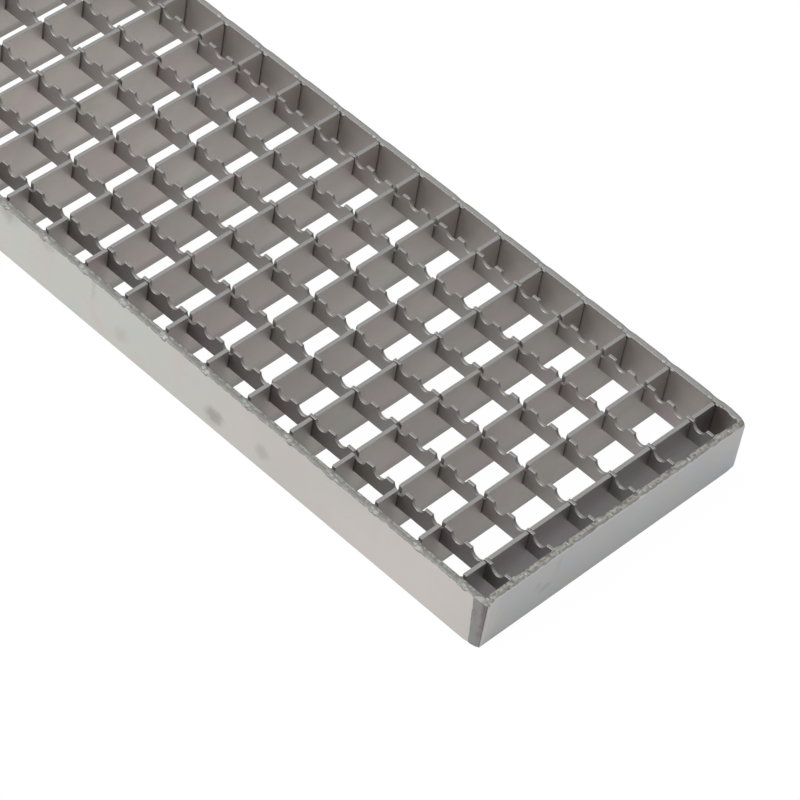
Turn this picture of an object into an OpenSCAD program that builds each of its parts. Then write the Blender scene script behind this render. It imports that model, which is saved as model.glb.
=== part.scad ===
// Press-locked steel grating panel.
// Deep bearing bars run across the panel. Shallower fillers with round-notched
// top edges are pressed into slots along it, and two bent flat bars close the rim.
// X runs along the panel, Y across it and Z up; the origin is at the middle of the underside.

/* [Panel] */
// Overall length, over both end bands
panel_len = 750; // [400:10:1200]
// Overall width, over both side bands
panel_w = 216; // [160:1:600]
// Height of the panel, which is the depth of the bearing bars and of the bands
panel_h = 36; // [25:1:60]

/* [Mesh] */
// Centre distance from one bearing bar to the next
bearing_pitch = 33.33; // [20:0.01:50]
// Thickness of a bearing bar
bearing_t = 2.7; // [1.5:0.1:5]
// Outer face of the +X end band to the middle of the first bearing bar
first_bar = 23; // [15:0.1:30]
// Centre distance from one filler to the next
filler_pitch = 33.33; // [20:0.01:50]
// Number of fillers
filler_count = 6; // [1:1:12]
// Thickness of a filler
filler_t = 2; // [1.5:0.1:4]
// Depth of a filler, from the top of the panel down
filler_d = 14.5; // [10:0.5:20]

/* [Fit of the fillers] */
// Gap between a filler and the -Y side of its slot
slot_gap = 0.9; // [0.3:0.1:1.2]
// Gap between a filler and the +Y side of its slot
slot_gap_far = 0.2; // [0.1:0.1:0.6]
// How far a filler is pressed into the bottom of its slot
press_in = 0.5; // [0.2:0.1:1]

/* [Notches] */
// Centre distance from one notch to the next
notch_pitch = 15; // [12:0.5:25]
// Middle of the first bearing bar to the middle of the notch beside it, towards +X
first_notch = 8.2; // [6:0.1:9]
// Radius of a notch
notch_r = 4.8; // [3:0.1:5.5]

/* [Bands] */
// Thickness of the banding bar
band_t = 4.5; // [2:0.5:6]
// Inside radius of the two bent corners
bend_r = 0.5; // [0.5:0.5:8]
// Length of the ground flat on a welded corner, along the panel
flat_len = 10; // [8:0.5:12]
// Depth of that flat at the end face
flat_d = 1.7; // [0.5:0.1:2]
// Depth of the groove that the corner weld fills
weld_d = 3; // [2:0.1:3.5]

/* [Hidden] */
$fn = 48;
in_len = panel_len - 2 * band_t;
in_w = panel_w - 2 * band_t;
first_x = panel_len / 2 - first_bar;
end_clear = bearing_t;
bearing_count = floor((first_x + in_len / 2 - end_clear) / bearing_pitch) + 1;
first_y = -filler_pitch * (filler_count - 1) / 2;
slot_w = filler_t + slot_gap + slot_gap_far;
slot_d = filler_d - press_in;
half_notches = ceil(panel_len / notch_pitch);
eps = 1;

function bearing_x(i) = first_x - i * bearing_pitch;
function filler_y(j) = first_y + j * filler_pitch;
function notch_x(k) = first_x + first_notch + k * notch_pitch;

// Side view of a bearing bar: a plate with a slot from the top for each filler
module bearing_profile() {
    difference() {
        translate([-in_w / 2, 0])
            square([in_w, panel_h]);
        for (j = [0 : filler_count - 1])
            translate([filler_y(j) - filler_t / 2 - slot_gap, panel_h - slot_d])
                square([slot_w, slot_d + eps]);
    }
}

// Side view of a filler: round notches leave flat lands between them
module filler_profile() {
    difference() {
        translate([-in_len / 2, panel_h - filler_d])
            square([in_len, filler_d]);
        for (k = [-half_notches : half_notches])
            if (abs(notch_x(k)) < in_len / 2 + notch_r)
                translate([notch_x(k), panel_h])
                    circle(r = notch_r);
    }
}

// Bearing bars and fillers, locked into one grid where they cross
module grid() {
    color([0.60, 0.58, 0.56]) {
        for (i = [0 : bearing_count - 1])
            translate([bearing_x(i) - bearing_t / 2, 0, 0])
                rotate([90, 0, 90])
                    linear_extrude(height = bearing_t)
                        bearing_profile();
        for (j = [0 : filler_count - 1])
            translate([0, filler_y(j) + filler_t / 2, 0])
                rotate([90, 0, 0])
                    linear_extrude(height = filler_t)
                        filler_profile();
    }
}

// Quarter ring of the bend, around the origin, in the quadrant of +X and +Y
module bend() {
    intersection() {
        difference() {
            circle(r = bend_r + band_t);
            circle(r = bend_r);
        }
        square(bend_r + band_t + eps);
    }
}

// Triangle ground away at a welded corner, with the corner itself at the origin
module ground_off() {
    polygon([[-flat_len, 0], [-flat_len, -eps], [eps, -eps], [eps, flat_d], [0, flat_d]]);
}

// Groove that the corner weld fills, centred on the butt joint of the two bands
module weld_groove() {
    translate([-band_t, 0])
        polygon([[-weld_d, 0], [weld_d, 0], [0, weld_d]]);
}

// Plan of a banding bar, as laid along the +X end and the +Y side:
// the end leg starts at the welded corner and the side leg butts on the other bar
module band_plan() {
    bend_x = panel_len / 2 - band_t - bend_r;
    bend_y = panel_w / 2 - band_t - bend_r;
    difference() {
        union() {
            translate([panel_len / 2 - band_t, -panel_w / 2])
                square([band_t, bend_y + panel_w / 2]);
            translate([bend_x, bend_y])
                bend();
            translate([-in_len / 2, panel_w / 2 - band_t])
                square([bend_x + in_len / 2, band_t]);
        }
        welded_corner() {
            ground_off();
            weld_groove();
        }
        rotate(180)
            welded_corner() {
                ground_off();
                weld_groove();
            }
    }
}

// Places its children at the welded corner of +X and -Y
module welded_corner() {
    translate([panel_len / 2, -panel_w / 2])
        children();
}

// Banding bar of the +X end and the +Y side
module band_end_and_far_side() {
    color([0.66, 0.66, 0.66])
        linear_extrude(height = panel_h)
            band_plan();
}

// The same bar turned half round, for the -Y side and the -X end
module band_near_side_and_end() {
    color([0.72, 0.70, 0.68])
        linear_extrude(height = panel_h)
            rotate(180)
                band_plan();
}

// Weld metal in the grooves of the two butt-jointed corners, ground flat
module corner_welds() {
    color([0.45, 0.43, 0.43])
        for (turn = [0, 180])
            linear_extrude(height = panel_h)
                rotate(turn)
                    welded_corner()
                        difference() {
                            weld_groove();
                            ground_off();
                        }
}

grid();
band_end_and_far_side();
band_near_side_and_end();
corner_welds();
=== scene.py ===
"""Builds the looks of a press-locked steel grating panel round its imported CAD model.

Bearing bars run across the panel, fillers with round notches run along it, and two bent
flat bars close the rim. Weld metal ties the bar ends to the rim and fills the two butt
joints. Everything is in metres, in the frame of the CAD model.
"""

from __future__ import annotations

import logging
import math
import random
from collections.abc import Iterator, Sequence
from dataclasses import dataclass
from enum import Enum

import bmesh
import bpy
from mathutils import Matrix, Vector, noise

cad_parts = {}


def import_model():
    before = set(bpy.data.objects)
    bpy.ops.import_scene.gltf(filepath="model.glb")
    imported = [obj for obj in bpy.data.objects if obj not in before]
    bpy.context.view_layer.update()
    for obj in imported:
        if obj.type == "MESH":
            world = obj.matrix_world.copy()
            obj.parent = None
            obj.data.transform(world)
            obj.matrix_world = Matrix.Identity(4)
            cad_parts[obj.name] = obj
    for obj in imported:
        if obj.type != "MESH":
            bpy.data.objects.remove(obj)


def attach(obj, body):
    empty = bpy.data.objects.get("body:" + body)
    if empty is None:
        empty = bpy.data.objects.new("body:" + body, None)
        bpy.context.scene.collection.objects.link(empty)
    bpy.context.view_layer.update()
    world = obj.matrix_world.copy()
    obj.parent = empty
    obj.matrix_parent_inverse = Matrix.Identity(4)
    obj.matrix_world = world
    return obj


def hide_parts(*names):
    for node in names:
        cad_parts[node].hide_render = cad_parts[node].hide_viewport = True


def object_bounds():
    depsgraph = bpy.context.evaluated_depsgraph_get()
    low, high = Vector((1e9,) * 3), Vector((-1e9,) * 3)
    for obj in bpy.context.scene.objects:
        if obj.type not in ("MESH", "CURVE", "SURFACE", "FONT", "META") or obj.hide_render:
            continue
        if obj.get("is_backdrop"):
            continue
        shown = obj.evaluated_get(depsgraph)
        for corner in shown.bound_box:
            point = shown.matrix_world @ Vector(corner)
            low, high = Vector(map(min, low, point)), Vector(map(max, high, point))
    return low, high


LOG = logging.getLogger("grating_panel")
BODY = "root"
MM = 0.001

Colour = tuple[float, float, float]
Triple = tuple[float, float, float]
# Values of a noise at which a mask is 0 and 1
Levels = tuple[float, float]


# ---------------------------------------------------------------- shader maths


class Val:
    """A socket of a node tree, on which Python arithmetic adds Math nodes."""

    def __init__(self, graph: Graph, socket: bpy.types.NodeSocket) -> None:
        """Wraps a socket of the graph."""
        self.graph = graph
        self.socket = socket

    def math(self, operation: str, *terms: Val | float) -> Val:
        """Adds one Math node.

        Args:
            operation: Blender's name of the operation.
            terms: The node's inputs, in order.

        Returns:
            The node's result.
        """
        node = self.graph.node("ShaderNodeMath", {"operation": operation}, dict(enumerate(terms)))
        return Val(self.graph, node.outputs[0])

    def __add__(self, other: Val | float) -> Val:
        """self + other."""
        return self.math("ADD", self, other)

    __radd__ = __add__

    def __sub__(self, other: Val | float) -> Val:
        """self - other."""
        return self.math("SUBTRACT", self, other)

    def __rsub__(self, other: Val | float) -> Val:
        """other - self."""
        return self.math("SUBTRACT", other, self)

    def __mul__(self, other: Val | float) -> Val:
        """self * other."""
        return self.math("MULTIPLY", self, other)

    __rmul__ = __mul__

    def centred(self) -> Val:
        """The value less a half, so that noise swings about 0."""
        return self - 0.5

    def size(self) -> Val:
        """The value without its sign."""
        return self.math("ABSOLUTE", self)

    def most(self, other: Val | float) -> Val:
        """The larger of the two values."""
        return self.math("MAXIMUM", self, other)

    def least(self, other: Val | float) -> Val:
        """The smaller of the two values."""
        return self.math("MINIMUM", self, other)

    def step(self, low: float, high: float) -> Val:
        """A smooth ramp, which may fall as well as rise.

        Args:
            low: The value at which the ramp is 0.
            high: The value at which the ramp is 1, above or below low.

        Returns:
            The ramp's height, from 0 to 1.
        """
        settings = {"interpolation_type": "SMOOTHERSTEP"}
        ends = (low, high, 0.0, 1.0) if low < high else (high, low, 1.0, 0.0)
        keys = ("From Min", "From Max", "To Min", "To Max")
        inputs = {"Value": self, **dict(zip(keys, ends))}
        node = self.graph.node("ShaderNodeMapRange", settings, inputs)
        return Val(self.graph, node.outputs["Result"])


class Graph:
    """The node tree of one material or world."""

    def __init__(self, owner: bpy.types.Material | bpy.types.World) -> None:
        """Empties the owner's node tree.

        Args:
            owner: The material or world whose nodes are made.
        """
        owner.use_nodes = True
        self.owner = owner
        self.tree = owner.node_tree
        self.tree.nodes.clear()

    @classmethod
    def of_material(cls, name: str) -> Graph:
        """Makes an empty material of that name."""
        return cls(bpy.data.materials.new(name))

    def node(
        self, kind: str, settings: dict | None = None, inputs: dict | None = None
    ) -> bpy.types.Node:
        """Adds a node.

        Args:
            kind: Blender's identifier of the node type.
            settings: Attributes of the node, which are set first.
            inputs: Values or Val links by the socket's name or number.

        Returns:
            The node.
        """
        node = self.tree.nodes.new(kind)
        for key, value in (settings or {}).items():
            setattr(node, key, value)
        for key, value in (inputs or {}).items():
            if isinstance(value, Val):
                self.tree.links.new(value.socket, node.inputs[key])
            else:
                node.inputs[key].default_value = value
        return node

    def position(self) -> Val:
        """Object coordinates, in metres."""
        return Val(self, self.node("ShaderNodeTexCoord").outputs["Object"])

    def along_bar(self) -> Val:
        """The piece's own UV map: metres along the bar and round its section."""
        return Val(self, self.node("ShaderNodeTexCoord").outputs["UV"])

    def held(self, name: str) -> Val:
        """A number that the mesh itself holds under that name."""
        return Val(self, self.node("ShaderNodeAttribute", {"attribute_name": name}).outputs["Fac"])

    def axes(self, vector: Val) -> tuple[Val, Val, Val]:
        """Splits a vector into its three numbers."""
        outputs = self.node("ShaderNodeSeparateXYZ", None, {0: vector}).outputs
        return Val(self, outputs[0]), Val(self, outputs[1]), Val(self, outputs[2])

    def noise(
        self, vector: Val, scale: Triple | float, detail: float = 3.0, seed: float = 0.0
    ) -> Val:
        """Noise from 0 to 1.

        Args:
            vector: Coordinates in metres.
            scale: Repeats to the metre, along each axis or along all three.
            detail: Octaves of finer noise.
            seed: Offset of the pattern.

        Returns:
            The noise's value.
        """
        scales = scale if isinstance(scale, tuple) else (scale, scale, scale)
        inputs = {"Vector": vector, "Location": (seed, seed, seed), "Scale": scales}
        place = self.node("ShaderNodeMapping", None, inputs)
        inputs = {"Vector": Val(self, place.outputs[0]), "Scale": 1.0, "Detail": detail}
        return Val(self, self.node("ShaderNodeTexNoise", None, inputs).outputs[0])

    def away(self, place: Triple, reach: Triple) -> Val:
        """Distance from a place, counted in lengths of its reach.

        Args:
            place: The place, in metres.
            reach: Half axes of the ellipsoid on whose skin the distance is 1.

        Returns:
            The distance.
        """
        shrink = tuple(1.0 / length for length in reach)
        shift = tuple(-spot / length for spot, length in zip(place, reach))
        inputs = {"Vector": self.position(), "Location": shift, "Scale": shrink}
        local = Val(self, self.node("ShaderNodeMapping", None, inputs).outputs[0])
        node = self.node("ShaderNodeVectorMath", {"operation": "LENGTH"}, {0: local})
        return Val(self, node.outputs["Value"])

    def mix(self, factor: Val | float, first: Val | Colour, second: Val | Colour) -> Val:
        """Blends two colours.

        Args:
            factor: Share of the second colour, which is kept from 0 to 1.
            first: The colour at factor 0.
            second: The colour at factor 1.

        Returns:
            The blended colour.
        """
        settings = {"data_type": "RGBA", "blend_type": "MIX", "clamp_factor": True}
        plain = [c if isinstance(c, Val) else (*c, 1.0) for c in (first, second)]
        node = self.node("ShaderNodeMix", settings, {0: factor, 6: plain[0], 7: plain[1]})
        return Val(self, node.outputs[2])

    def shaded(self, colour: Val, factor: Val) -> Val:
        """A colour made lighter or darker by a factor."""
        node = self.node("ShaderNodeVectorMath", {"operation": "SCALE"}, {0: colour, "Scale": factor})
        return Val(self, node.outputs[0])

    def bump(self, height: Val, depth: float) -> Val:
        """A normal from a height of 0 to 1 that stands for depth in metres."""
        node = self.node("ShaderNodeBump", None, {"Height": height, "Distance": depth})
        return Val(self, node.outputs[0])

    def metal(self, colour: Val, roughness: Val, normal: Val) -> bpy.types.Material:
        """Ends the material in bare metal.

        Args:
            colour: The metal's colour.
            roughness: Its roughness.
            normal: Its normal, with the finish's relief.

        Returns:
            The finished material.
        """
        inputs = {"Base Color": colour, "Roughness": roughness, "Normal": normal, "Metallic": 1.0}
        shader = self.node("ShaderNodeBsdfPrincipled", None, inputs)
        self.node("ShaderNodeOutputMaterial", None, {"Surface": Val(self, shader.outputs[0])})
        return self.owner

    def backdrop(self, seen: float = 1.0, mirrored: Val | float = 1.0) -> Val:
        """How far a ray shows the plain white surround.

        Args:
            seen: Share for the camera's own rays.
            mirrored: Share for the rays that gloss and glass pass on.

        Returns:
            The share, and 0 for every other ray.
        """
        rays = self.node("ShaderNodeLightPath").outputs
        kinds = ("Is Camera Ray", "Is Glossy Ray", "Is Transmission Ray")
        camera, gloss, glass = (Val(self, rays[kind]) for kind in kinds)
        return (camera * seen).most(gloss.most(glass) * mirrored)


# ---------------------------------------------------------------- finishes


@dataclass(frozen=True)
class BarFinish:
    """Pickled stainless flat bar: dull, cloudy, with faint drag lines along it.

    Top is the colour of the upper edge: a painted shade, darker than the faces, that offsets
    the lamps' light on the tops. Cut is that of every other sheared or punched edge. A painted
    light makes the finish palest at painted_light_at. Over painted_light_reach it darkens, as
    painted shade, from painted_shades[1] to painted_shades[0] and turns towards shade_tone.
    What lies past tint_start, towards the +X end, has been tinted by the heat of the rim's
    welds and is darkened by end_cell_painted_shade, a painted shade of the end cell beside the
    end band. From end_from to end_to, at the near side, the bars are darker by
    near_end_darkening. Towards the foot, the palest part is darker by foot_painted_shade, a
    painted shade. The painted shade of the top starts top_shade_depth below the top, and is
    complete at top_shade_full.
    """

    name: str
    light: Colour
    dark: Colour
    warm: Colour
    cool: Colour
    # Darker colour of the tops: a painted shade that offsets the lamps' light on them
    top: Colour
    line_scale: Triple
    # Painted light and shade: where the colour is palest, and how it darkens away from there
    painted_light_at: Triple
    painted_light_reach: Triple
    painted_shades: tuple[float, float]
    shade_tone: Colour
    tint_start: float
    heat: Colour
    # Painted shade towards the foot
    foot_painted_shade: float = 0.0
    # Darkening of the bars beside the near band
    near_end_darkening: float = 0.0
    cut: Colour = (0.23, 0.225, 0.218)
    roughness: float = 0.5
    clouds_at: Levels = (0.3, 0.7)
    warm_at: Levels = (0.5, 0.7)
    cool_at: Levels = (0.46, 0.3)
    haze_share: float = 0.7
    lines_at: Levels = (0.4, 0.75)
    line_colour: Colour = (0.16, 0.15, 0.14)
    line_share: float = 0.02
    tone_share: float = 0.3
    tint_blur: float = 0.5 * MM
    tint_share: float = 0.5
    # Painted shade of the end cell beside the end band
    end_cell_painted_shade: float = 0.18
    end_from: float = -80 * MM
    end_to: float = -93 * MM
    foot_from: float = 9 * MM
    foot_to: float = 3 * MM
    top_shade_depth: float = 0.45 * MM
    top_shade_full: float = 0.15 * MM
    line_rough: float = 0.02
    cloud_rough: float = 0.1
    cut_rough: float = 0.15
    grain_share: float = 0.96
    relief: float = 0.03 * MM

    def build(self, height: float) -> bpy.types.Material:
        """Makes the material.

        Args:
            height: Height of the bar's top, just under which the wear starts.

        Returns:
            The material.
        """
        g = Graph.of_material(self.name)
        place = g.position()
        cloud = g.noise(place, scale=14, detail=4.0)
        haze = g.noise(place, scale=30, detail=2.0, seed=5.0)
        lines = g.noise(place, scale=self.line_scale, seed=3.0)
        grain = g.noise(place, scale=900, detail=2.0)
        along, across, up = g.axes(place)
        cut = g.held("cut")
        colour = g.mix(cloud.step(*self.clouds_at), self.light, self.dark)
        colour = g.mix(haze.step(*self.warm_at) * self.haze_share, colour, self.warm)
        colour = g.mix(haze.step(*self.cool_at) * self.haze_share, colour, self.cool)
        colour = g.mix(lines.step(*self.lines_at) * self.line_share, colour, self.line_colour)
        # Painted light and shade: a gradient from the palest place scales the colour
        away = g.away(self.painted_light_at, self.painted_light_reach).least(1.0)
        colour = g.mix(away * self.tone_share, colour, self.shade_tone)
        pale = away * (self.painted_shades[0] - self.painted_shades[1])
        tinted = along.step(self.tint_start, self.tint_start + self.tint_blur)
        # Darker over the bars' first cell beside the near band
        side = across.step(self.end_from, self.end_to)
        # Painted shade towards the foot, strongest at the palest end
        foot = up.step(self.foot_from, self.foot_to) * (1.0 - away)
        # Painted shade of the end cell beside the end band; the heat's tint below is the steel's own
        # colour
        darkening = (1.0 - tinted * self.end_cell_painted_shade) * (1.0 - side * self.near_end_darkening)
        darkening = darkening * (1.0 - foot * self.foot_painted_shade)
        colour = g.mix(tinted * self.tint_share, colour, self.heat)
        colour = g.shaded(colour, (pale + self.painted_shades[1]) * darkening)
        colour = g.mix(cut, colour, self.cut)
        # Painted shade on the tops, from just under the top up
        top_painted_shade = up.step(height - self.top_shade_depth, height - self.top_shade_full)
        colour = g.mix(top_painted_shade, colour, self.top)
        roughness = self.roughness + lines.centred() * self.line_rough
        roughness = roughness + cloud.centred() * self.cloud_rough + cut * self.cut_rough
        surface = lines * (1.0 - self.grain_share) + grain * self.grain_share
        return g.metal(colour, roughness, g.bump(surface, self.relief))


@dataclass(frozen=True)
class SmudgeOrPaintedShade:
    """A soft patch of colour, for handling marks and for the painted shade in the end band's far
    corner cell.

    Reach is how far the mark goes from its place along each axis. The mark is darkest up to
    full of that reach and ends at gone of it, and noise shifts both by up to half of blur.
    """

    place: Triple
    reach: Triple
    strength: float
    colour: Colour
    blur: float = 1.2
    full: float = 0.1
    gone: float = 1.1

    def mask(self, g: Graph) -> Val:
        """Shows where the mark lies.

        Args:
            g: The node tree of the finish that has the mark.

        Returns:
            How dark the mark is at each point.
        """
        uneven = g.noise(g.position(), scale=120, detail=2.0, seed=4.0)
        away = g.away(self.place, self.reach) + uneven.centred() * self.blur
        return away.step(self.gone, self.full) * self.strength


@dataclass(frozen=True)
class BandFinish:
    """Pickled stainless banding bar, patterned along its own length.

    The bar is mapped round from its inner top edge, so the sheared outer edge with its dark
    scale starts at edge_start and ends at edge_end, and the sheltered inner face starts at
    inner_start. A dark line runs along the inner top edge. Gaps is the share of the outer
    edge that is clean. Past clean_from along the bar, the top is clean_top, with no scale,
    and a bar shorter than that has scale from end to end. Pits are the darkest spots of the
    top. From tone_from to tone_to along the panel, the faces change to tone.
    """

    name: str
    light: Colour
    dark: Colour
    warm: Colour
    cool: Colour
    top: Colour
    clean_top: Colour
    pits: Colour
    edge: Colour
    edge_start: float
    edge_end: float
    gaps: float
    patched: float
    clean_from: float
    tone: Colour
    tone_from: float
    tone_to: float
    roughness: float
    smudges_and_painted_shade: tuple[SmudgeOrPaintedShade, ...]
    inner: Colour = (0.40, 0.37, 0.35)
    inner_start: float = 44.5 * MM
    inner_blur: float = 0.3 * MM
    line: Colour = (0.13, 0.127, 0.118)
    line_start: float = 0.3 * MM
    line_end: float = 1.4 * MM
    line_share: float = 0.15
    clean_line_share: float = 0.25
    clouds_at: Levels = (0.3, 0.7)
    warm_at: Levels = (0.46, 0.74)
    cool_at: Levels = (0.5, 0.26)
    drags_at: Levels = (0.4, 0.75)
    drag_colour: Colour = (0.2, 0.2, 0.19)
    drag_share: float = 0.02
    tone_share: float = 0.7
    pits_at: Levels = (0.47, 0.6)
    pitted: float = 0.8
    mottle_at: Levels = (0.2, 0.5)
    mottle_share: float = 0.3
    gaps_at: Levels = (0.42, 0.6)
    ragged_by: float = 1.6 * MM
    edge_blur: float = 0.5 * MM
    edge_full: float = 0.3 * MM
    scale_full: float = 0.4 * MM
    clean_blur: float = 6 * MM
    drag_rough: float = 0.04
    scale_rough: float = 0.12
    relief: float = 0.3 * MM
    drag_relief: float = 0.02
    top_relief: float = 0.15
    scale_relief: float = 0.4
    clean_smooth: float = 0.7

    def faces(self, g: Graph) -> Val:
        """Colours the bar's faces: cloudy, patched with tints, dragged, smudged and given painted
        shade.

        Args:
            g: The material's node tree.

        Returns:
            The faces' colour.
        """
        place = g.along_bar()
        girth = g.axes(place)[1]
        cloud = g.noise(g.position(), scale=11, detail=4.0)
        colour = g.mix(cloud.step(*self.clouds_at), self.light, self.dark)
        toned = g.axes(g.position())[0].step(self.tone_from, self.tone_to) * self.tone_share
        colour = g.mix(toned, colour, self.tone)
        tint = g.noise(place, scale=(42, 36, 1), seed=7.0)
        patches = (toned + (1.0 - self.tone_share)) * self.patched
        colour = g.mix(tint.step(*self.warm_at) * patches, colour, self.warm)
        colour = g.mix(tint.step(*self.cool_at) * patches, colour, self.cool)
        inside = girth.step(self.inner_start - self.inner_blur, self.inner_start + self.inner_blur)
        colour = g.mix(inside, colour, self.inner)
        drags = self.drags(g).step(*self.drags_at) * self.drag_share
        colour = g.mix(drags, colour, self.drag_colour)
        for smudge_or_shade in self.smudges_and_painted_shade:
            colour = g.mix(smudge_or_shade.mask(g), colour, smudge_or_shade.colour)
        return colour

    def drags(self, g: Graph) -> Val:
        """Fine lines along the bar, from 0 to 1."""
        return g.noise(g.along_bar(), scale=(9, 600, 1), seed=3.0)

    def build(self) -> bpy.types.Material:
        """Makes the material, with the sheared top over the colour of the faces.

        Returns:
            The material.
        """
        g = Graph.of_material(self.name)
        colour = self.faces(g)
        place = g.along_bar()
        along, girth, _ = g.axes(place)
        ragged = g.noise(place, scale=(240, 330, 1), seed=11.0)
        shifted = girth + ragged.centred() * self.ragged_by
        top = shifted.step(self.edge_end + self.edge_blur, self.edge_end - self.edge_full)
        clean = along.step(self.clean_from - self.clean_blur, self.clean_from + self.clean_blur)
        mottle = g.noise(place, scale=(420, 460, 1), seed=23.0)
        surface = g.mix(mottle.step(*self.pits_at) * self.pitted, self.top, self.pits)
        surface = g.mix(clean, surface, self.clean_top)
        thick = mottle.step(*self.mottle_at) * self.mottle_share + (1.0 - self.mottle_share)
        colour = g.mix(top * thick, colour, surface)
        line = girth.step(self.line_end, self.line_start)
        line = line * (clean * self.clean_line_share + self.line_share)
        colour = g.mix(line, colour, self.line)
        torn = g.noise(place, scale=(150, 40, 1), detail=2.0, seed=17.0)
        broken = 1.0 - torn.step(*self.gaps_at) * self.gaps
        sheared = shifted.step(self.edge_start - self.edge_blur, self.edge_start + self.scale_full)
        scale = sheared * top * broken * (1.0 - clean)
        colour = g.mix(scale, colour, self.edge)
        drags = self.drags(g)
        roughness = self.roughness + drags.centred() * self.drag_rough + scale * self.scale_rough
        coarse = ragged * top * (self.top_relief + scale * self.scale_relief)
        coarse = coarse * (1.0 - clean * self.clean_smooth)
        return g.metal(colour, roughness, g.bump(drags * self.drag_relief + coarse, self.relief))


@dataclass(frozen=True)
class BeadFinish:
    """Weld beads: dull and cloudy, with a painted highlight on the crests where they stand proud of
    the rim.
    """

    name: str
    light: Colour
    dark: Colour
    painted_glint: Colour
    roughness: float
    painted_glint_share: float = 0.6
    painted_glint_from: float = 0.1 * MM
    painted_glint_to: float = 0.3 * MM
    clouds_at: Levels = (0.35, 0.65)
    cloud_rough: float = 0.2
    fine_share: float = 0.5
    relief: float = 0.1 * MM

    def build(self, height: float) -> bpy.types.Material:
        """Makes the material.

        Args:
            height: Height of the rim's top, just above which the painted highlight starts.

        Returns:
            The material.
        """
        g = Graph.of_material(self.name)
        place = g.position()
        cloud = g.noise(place, scale=260)
        fine = g.noise(place, scale=1200, detail=2.0)
        colour = g.mix(cloud.step(*self.clouds_at), self.light, self.dark)
        # Painted highlight on the bead crests that stand proud of the rim
        glinting = g.axes(place)[2].step(height + self.painted_glint_from, height + self.painted_glint_to)
        colour = g.mix(glinting * self.painted_glint_share, colour, self.painted_glint)
        roughness = self.roughness + cloud.centred() * self.cloud_rough
        surface = cloud * (1.0 - self.fine_share) + fine * self.fine_share
        return g.metal(colour, roughness, g.bump(surface, self.relief))


@dataclass(frozen=True)
class CornerFinish:
    """Ground corner weld: grey, with heat tint towards the end face, mostly higher up.

    The tint starts at change, a distance from the middle of the panel, and noise makes its
    border ragged.
    """

    name: str
    ground: Colour
    tinted: Colour
    change: float
    roughness: float
    soot: Colour = (0.1, 0.09, 0.09)
    soot_at: Levels = (0.5, 0.8)
    soot_share: float = 0.4
    change_blur: float = 1.3 * MM
    ragged_along: float = 4 * MM
    ragged_up: float = 20 * MM
    rise: float = 22 * MM
    low_share: float = 0.3
    cloud_rough: float = 0.3
    fine_share: float = 0.3
    relief: float = 0.2 * MM

    def build(self) -> bpy.types.Material:
        """Makes the material.

        Returns:
            The material.
        """
        g = Graph.of_material(self.name)
        place = g.position()
        along, _, up = g.axes(place)
        cloud = g.noise(place, scale=(220, 220, 130))
        from_middle = along.size() + cloud.centred() * self.ragged_along
        side = from_middle.step(self.change - self.change_blur, self.change + self.change_blur)
        high = (up + cloud.centred() * self.ragged_up).step(0.0, self.rise)
        high = high * (1.0 - self.low_share) + self.low_share
        colour = g.mix(side * high, self.ground, self.tinted)
        colour = g.mix(cloud.step(*self.soot_at) * self.soot_share, colour, self.soot)
        fine = g.noise(place, scale=(700, 700, 1500), detail=2.0)
        roughness = self.roughness + cloud.centred() * self.cloud_rough
        surface = cloud * (1.0 - self.fine_share) + fine * self.fine_share
        return g.metal(colour, roughness, g.bump(surface, self.relief))


BEARING_STEEL = BarFinish(
    name="bearing_bar_steel",
    light=(0.45, 0.42, 0.395),
    dark=(0.395, 0.37, 0.35),
    warm=(0.44, 0.375, 0.37),
    cool=(0.39, 0.39, 0.35),
    top=(0.222, 0.22, 0.216),
    line_scale=(300, 10, 300),
    # Painted light: the bars' faces are palest towards the far -X end
    painted_light_at=(-100 * MM, 0, 0),
    painted_light_reach=(460 * MM, 100, 100),
    painted_shades=(0.88, 1.24),
    shade_tone=(0.43, 0.402, 0.378),
    tint_start=352.8 * MM,
    heat=(0.36, 0.33, 0.375),
    foot_painted_shade=0.28,
    near_end_darkening=0.19,
)
FILLER_STEEL = BarFinish(
    name="filler_steel",
    light=(0.331, 0.316, 0.301),
    dark=(0.276, 0.263, 0.251),
    warm=(0.30, 0.252, 0.262),
    cool=(0.276, 0.272, 0.242),
    top=(0.20, 0.197, 0.193),
    line_scale=(10, 300, 300),
    # Painted shade: the fillers darken towards the near band
    painted_light_at=(0, 90 * MM, 0),
    painted_light_reach=(100, 180 * MM, 100),
    painted_shades=(0.98, 1.24),
    shade_tone=(0.303, 0.28, 0.293),
    tint_start=354.5 * MM,
    heat=(0.28, 0.26, 0.275),
)
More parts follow.
